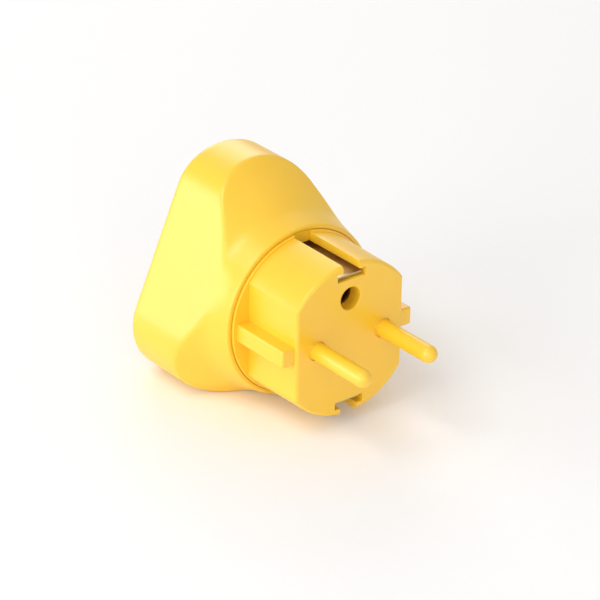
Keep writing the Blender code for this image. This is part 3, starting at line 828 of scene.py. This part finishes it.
ridges = grow("earth_bow_ridges", ridge_rows(tinned_brass), {
    "Pitch": ridge_pitch,
    "Ridge Height": ridge_height,
    "Stretch": ridge_stretch,
    "Ridge Length": 2.0 * bow_half_width - ridge_margin,
    "Leg Height": bow_leg_top,
    "First Ridge": ridge_start,
}, tinned_brass)
even_shading(ridges, 50.0)
even_shading(bow)
for piece in (bow, ridges):
    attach(piece, "root")
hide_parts("earth_bow")

# ---------------------------------------------------------------------------
# Contact sleeve. Turned from brass bar and riveted to the bow: the socket's
# earth pin slides into it. Fine tool lines run round its bore.
# ---------------------------------------------------------------------------
def turned_brass_bar():
    """Lathe-turned brass: rings of fine tool marks round the sleeve's own axis."""
    metal, shader = new_finish("turned_brass_bar")
    shader.inputs["Metallic"].default_value = 1.0
    marks = texture(metal, "Wave", 900.0, Distortion=0.6)
    marks.bands_direction = "Y"
    rings = marks.outputs["Fac"]
    tint(metal, rings, (0.62, 0.42, 0.16), (0.78, 0.57, 0.27))
    dull(metal, rings, 0.22, 0.38)
    emboss(metal, rings, 0.2, 0.01 * MM)
    return metal


def refinish(node, material):
    """Give a carried-over solid its finish through its material slots."""
    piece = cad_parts[node]
    if not piece.material_slots:
        piece.data.materials.append(material)
    for held in piece.material_slots:
        held.material = material


refinish("contact_sleeve", turned_brass_bar())

# ---------------------------------------------------------------------------
# Insert retainer. A black moulded disc behind the housing's ledge; three
# screws pull the insert's flange against the ledge through it.
# ---------------------------------------------------------------------------
def black_moulded_plastic():
    """Black glass-filled nylon: matt, mottled, with short fibre streaks in the skin."""
    plastic = new_finish("black_moulded_plastic")[0]
    streak = texture(plastic, "Noise", 700.0, Detail=5.0, Distortion=1.5).outputs["Fac"]
    tint(plastic, streak, (0.012, 0.012, 0.013), (0.035, 0.035, 0.037))
    dull(plastic, streak, 0.45, 0.62)
    emboss(plastic, streak, 0.2, 0.03 * MM)
    return plastic


refinish("insert_retainer", black_moulded_plastic())

# ---------------------------------------------------------------------------
# Screws, washers and nuts inside. Zinc-plated steel, passivated clear: three
# retainer screws, the star screw, and a washer and nut on each press stud.
# ---------------------------------------------------------------------------
def zinc_plated_steel():
    """Bright zinc with a clear passivate: a fine spangle and faint blue and straw patches."""
    metal, shader = new_finish("zinc_plated_steel")
    shader.inputs["Metallic"].default_value = 1.0
    patch = texture(metal, "Noise", 320.0)
    spangle = texture(metal, "Voronoi", 2600.0)
    tint(metal, patch.outputs["Fac"], (0.52, 0.55, 0.60), (0.66, 0.64, 0.58), 0.35, 0.70)
    dull(metal, spangle.outputs["Distance"], 0.25, 0.42)
    return metal


zinc = zinc_plated_steel()
for node in ("retainer_screw_1", "retainer_screw_2", "retainer_screw_3", "star_screw"):
    refinish(node, zinc)
for lobe in ("top", "left", "right"):
    refinish("stud_washer_" + lobe, zinc)
    refinish("stud_nut_" + lobe, zinc)

# ---------------------------------------------------------------------------
# Star tag and solder tags. Blanked from the same tinned strip as the bow; the
# resistor leads are soldered through their small holes.
# ---------------------------------------------------------------------------
refinish("star_tag", tinned_brass)
for lobe in ("top", "left", "right"):
    refinish("solder_tag_" + lobe, tinned_brass)

# ---------------------------------------------------------------------------
# Resistors. One megohm between each stud and earth: a lacquered dog-bone body
# with painted rings, on straight tinned leads.
# ---------------------------------------------------------------------------
resistor_middle = 36.25 * MM
resistor_length = 6.6 * MM
bare_lead = (0.62, 0.60, 0.56)
blue_lacquer = (0.20, 0.48, 0.62)
brown = (0.13, 0.05, 0.02)
black = (0.01, 0.01, 0.01)
gold = (0.60, 0.45, 0.02)
painted_rings = (
    (0.16, 0.24, brown),
    (0.34, 0.42, black),
    (0.50, 0.58, black),
    (0.66, 0.74, gold),
    (0.84, 0.92, brown),
)


def ringed_resistor_lacquer():
    """Pale blue lacquer with painted value rings, and bare tinned leads beyond the body."""
    lacquer, shader = new_finish("ringed_resistor_lacquer")
    shader.inputs["Roughness"].default_value = 0.28
    nodes = lacquer.node_tree.nodes
    links = lacquer.node_tree.links
    where = nodes.new("ShaderNodeTexCoord")
    split = nodes.new("ShaderNodeSeparateXYZ")
    along = nodes.new("ShaderNodeMapRange")
    along.inputs["From Min"].default_value = resistor_middle - resistor_length / 2.0
    along.inputs["From Max"].default_value = resistor_middle + resistor_length / 2.0
    links.new(where.outputs["Object"], split.inputs["Vector"])
    links.new(split.outputs["Y"], along.inputs["Value"])
    ramp = tint(lacquer, along.outputs["Result"], bare_lead, blue_lacquer, 0.0, 0.01)
    ramp.interpolation = "CONSTANT"
    for start, end, paint in painted_rings:
        ramp.elements.new(start).color = (*paint, 1.0)
        ramp.elements.new(end).color = (*blue_lacquer, 1.0)
    ramp.elements.new(0.995).color = (*bare_lead, 1.0)
    orange_peel = texture(lacquer, "Noise", 1500.0).outputs["Fac"]
    emboss(lacquer, orange_peel, 0.1, 0.02 * MM)
    return lacquer


lacquer = ringed_resistor_lacquer()
for lobe in ("top", "left", "right"):
    refinish("resistor_" + lobe, lacquer)

# ---------------------------------------------------------------------------
# Rear cover. A flat yellow moulding set into the rebate of the housing, with
# countersunk screw holes, a hole for each press stud and a shallow recess in
# its middle for the label.
# ---------------------------------------------------------------------------
cover_front = 46.3 * MM
cover_back = 48.6 * MM
cover_inset = 1.5 * MM
cover_edge = 0.35 * MM
stud_clearance = 2.2 * MM
stud_places = (
    ("top", 0.0, 18.7 * MM),
    ("left", -side_lobe_x, side_lobe_z),
    ("right", side_lobe_x, side_lobe_z),
)
boss_distance = 16.9 * MM
boss_turns = (270.0, 24.0, 156.0)
boss_places = [
    (boss_distance * math.cos(math.radians(turn)), boss_distance * math.sin(math.radians(turn)))
    for turn in boss_turns
]
countersink_radius = 2.9 * MM
screw_hole_radius = 1.5 * MM
label_radius = 6.6 * MM
label_gap = 0.3 * MM
label_recess = 0.8 * MM
recess_bevel = 0.2 * MM
cut_front = 40.0 * MM
cut_back = 60.0 * MM
cover_arc_points = 40
edge_steps = 5

cover_layers = [(cover_front, lobed_outline(cover_inset, cover_arc_points))]
for step in range(edge_steps + 1):
    turn = math.radians(90.0) * step / edge_steps
    y = cover_back - cover_edge * (1.0 - math.sin(turn))
    inset = cover_inset + cover_edge * (1.0 - math.cos(turn))
    cover_layers.append((y, lobed_outline(inset, cover_arc_points)))
cover = layered("rear_cover", cover_layers)
cover_cuts = [turned("label_recess", (
    (0.0, cut_back),
    (label_radius + label_gap + recess_bevel, cut_back),
    (label_radius + label_gap + recess_bevel, cover_back),
    (label_radius + label_gap, cover_back - recess_bevel),
    (label_radius + label_gap, cover_back - label_recess),
    (0.0, cover_back - label_recess),
), steps=128)]
for lobe, x, z in stud_places:
    cover_cuts.append(turned("stud_hole", (
        (0.0, cut_back),
        (stud_clearance, cut_back),
        (stud_clearance, cut_front),
        (0.0, cut_front),
    ), (x, z), 48))
for spot in boss_places:
    cover_cuts.append(turned("screw_hole", (
        (0.0, cut_back),
        (countersink_radius, cut_back),
        (countersink_radius, cover_back - 0.3 * MM),
        (screw_hole_radius, cover_back - 1.6 * MM),
        (screw_hole_radius, cut_front),
        (0.0, cut_front),
    ), spot, 64))
combine(cover, cover_cuts, "DIFFERENCE")
even_shading(cover)
cover.data.materials.clear()
cover.data.materials.append(yellow)
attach(cover, "root")
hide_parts("front_cover")

# ---------------------------------------------------------------------------
# Label. A white film disc with a plain printed earth symbol, stuck into the
# recess of the cover.
# ---------------------------------------------------------------------------
label_front = cover_back - label_recess + 0.3 * MM
label_back = label_front + 0.4 * MM
print_height = 0.03 * MM
stroke = 0.75 * MM
stem_top = 4.6 * MM
bar_pitch = 1.5 * MM
bar_half_lengths = (3.6 * MM, 2.3 * MM, 1.0 * MM)
block_faces = ((0, 1, 2, 3), (7, 6, 5, 4), (0, 4, 5, 1), (1, 5, 6, 2), (2, 6, 7, 3), (3, 7, 4, 0))


def printed_film(name, colour, roughness):
    """Satin vinyl film, faintly mottled."""
    film, shader = new_finish(name)
    shader.inputs["Roughness"].default_value = roughness
    mottle = texture(film, "Noise", 500.0).outputs["Fac"]
    tint(film, mottle, [part * 0.93 for part in colour], colour)
    return film


label = turned("label_film", (
    (0.0, label_back),
    (label_radius - 0.1 * MM, label_back),
    (label_radius, label_back - 0.1 * MM),
    (label_radius, label_front),
    (0.0, label_front),
), steps=128)
label.data.shade_smooth()
label.data.set_sharp_from_angle(angle=math.radians(30.0))
label.data.materials.append(printed_film("white_film", (0.86, 0.86, 0.84), 0.45))
strokes = [((-stroke / 2.0, 0.0), (stroke / 2.0, stem_top))]
for bar, half_length in enumerate(bar_half_lengths):
    level = -bar_pitch * bar
    strokes.append(((-half_length, level - stroke / 2.0), (half_length, level + stroke / 2.0)))
print_points, print_faces = [], []
for (x0, z0), (x1, z1) in strokes:
    first = len(print_points)
    for y in (label_back + 0.005 * MM, label_back + print_height):
        print_points += [(x0, y, z0), (x1, y, z0), (x1, y, z1), (x0, y, z1)]
    for corners in block_faces:
        print_faces.append(tuple(first + corner for corner in corners))
symbol = finished_object("label_symbol", print_points, print_faces)
symbol.data.materials.append(printed_film("black_print", (0.02, 0.02, 0.02), 0.5))
for piece in (label, symbol):
    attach(piece, "root")
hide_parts("label_disc")

# ---------------------------------------------------------------------------
# Cover screws. Three small countersunk cross-head screws in zinc-plated steel,
# driven into the housing's bosses until the heads are level with the cover.
# ---------------------------------------------------------------------------
screw_top = cover_back - 0.1 * MM
screw_head = 2.45 * MM
screw_shank = 1.05 * MM
head_rim = 0.2 * MM
head_depth = 1.55 * MM
head_bevel = 0.08 * MM
shank_end = 38.5 * MM
shank_tip = 37.5 * MM
cross_half_width = 0.28 * MM
cross_half_length = 1.4 * MM
cross_depth = 0.9 * MM

screw = turned("cover_screw_pattern", (
    (0.0, screw_top),
    (screw_head - head_bevel, screw_top),
    (screw_head, screw_top - head_bevel),
    (screw_head, screw_top - head_rim),
    (screw_shank, screw_top - head_depth),
    (screw_shank, shank_end),
    (0.0, shank_tip),
), steps=64)
recess = []
cross_arms = ((cross_half_width, cross_half_length), (cross_half_length, cross_half_width))
for across, along in cross_arms:
    recess.append(box(
        "recess",
        (-across, screw_top - cross_depth, -along),
        (across, cover_back - ahead, along),
    ))
combine(screw, recess, "DIFFERENCE")
even_shading(screw)
screw.data.materials.clear()
screw.data.materials.append(zinc)


def set_out(pattern, spots, name, material):
    """Copy a finished pattern to each (x, z) spot with a node tree, as one plain mesh."""
    tree = bpy.data.node_groups.new(name, "GeometryNodeTree")
    face = tree.interface
    face.new_socket("Geometry", in_out="OUTPUT", socket_type="NodeSocketGeometry")
    nodes = tree.nodes
    links = tree.links
    rows = nodes.new("GeometryNodeJoinGeometry")
    sizes = {}
    given = nodes.new("NodeGroupInput")
    for number, (x, z) in enumerate(spots, start=1):
        title = "Place %d" % number
        face.new_socket(title, in_out="INPUT", socket_type="NodeSocketVector")
        sizes[title] = (x, 0.0, z)
        point = nodes.new("GeometryNodePoints")
        links.new(given.outputs[title], point.inputs["Position"])
        links.new(point.outputs[0], rows.inputs["Geometry"])
    part = nodes.new("GeometryNodeObjectInfo")
    part.inputs["Object"].default_value = pattern
    placed = nodes.new("GeometryNodeInstanceOnPoints")
    real = nodes.new("GeometryNodeRealizeInstances")
    coat = nodes.new("GeometryNodeSetMaterial")
    coat.inputs["Material"].default_value = material
    result = nodes.new("NodeGroupOutput")
    links.new(rows.outputs["Geometry"], placed.inputs["Points"])
    links.new(part.outputs["Geometry"], placed.inputs["Instance"])
    links.new(placed.outputs["Instances"], real.inputs["Geometry"])
    links.new(real.outputs["Geometry"], coat.inputs["Geometry"])
    links.new(coat.outputs["Geometry"], result.inputs["Geometry"])
    piece = grow(name, tree, sizes, material)
    bpy.data.objects.remove(pattern, do_unlink=True)
    return piece


screws = set_out(screw, boss_places, "countersunk_screws", zinc)
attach(screws, "root")
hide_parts("cover_screw_1", "cover_screw_2", "cover_screw_3")

# ---------------------------------------------------------------------------
# Press studs. Three 10 mm studs turned from brass and nickel plated, one in
# each lobe, for the snap sockets of wrist straps and bench mats.
# ---------------------------------------------------------------------------
stud_seat = cover_back + 0.3 * MM
stud_head = 5.0 * MM
stud_crown = 1.1 * MM
stud_height = 4.4 * MM
stud_head_front = 2.6 * MM
stud_neck = 4.3 * MM
stud_neck_back = 1.7 * MM
stud_neck_front = 1.1 * MM
stud_flange_edge = (
    (6.1 * MM, 0.9 * MM),
    (6.35 * MM, 0.75 * MM),
    (6.4 * MM, 0.55 * MM),
    (6.4 * MM, 0.0),
)
stud_shank = 1.9 * MM
stud_shank_end = 39.9 * MM
stud_shank_bevel = 0.4 * MM
crown_steps = 12


def bright_nickel_plate():
    """Bright nickel over turned brass: mirror-like, with fine handling marks."""
    metal, shader = new_finish("bright_nickel_plate")
    shader.inputs["Metallic"].default_value = 1.0
    marks = texture(metal, "Noise", 420.0, Detail=6.0).outputs["Fac"]
    tint(metal, marks, (0.64, 0.61, 0.55), (0.74, 0.71, 0.66))
    dull(metal, marks, 0.10, 0.30)
    emboss(metal, marks, 0.08, 0.01 * MM)
    return metal


nickel = bright_nickel_plate()
profile = [(0.0, stud_seat + stud_height)]
for step in range(crown_steps + 1):
    turn = math.radians(90.0) * (1.0 - step / crown_steps)
    radius = stud_head - stud_crown + stud_crown * math.cos(turn)
    y = stud_seat + stud_height - stud_crown * (1.0 - math.sin(turn))
    profile.append((radius, y))
profile += [
    (stud_head, stud_seat + stud_head_front),
    (stud_neck, stud_seat + stud_neck_back),
    (stud_neck, stud_seat + stud_neck_front),
]
profile += [(radius, stud_seat + height) for radius, height in stud_flange_edge]
profile += [
    (stud_shank, stud_seat),
    (stud_shank, stud_shank_end + stud_shank_bevel),
    (stud_shank - stud_shank_bevel, stud_shank_end),
    (0.0, stud_shank_end),
]
stud = turned("press_stud_pattern", profile, steps=96)
even_shading(stud)
stud.data.materials.append(nickel)
studs = set_out(stud, [(x, z) for lobe, x, z in stud_places], "ten_millimetre_studs", nickel)
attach(studs, "root")
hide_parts("press_stud_top", "press_stud_left", "press_stud_right")
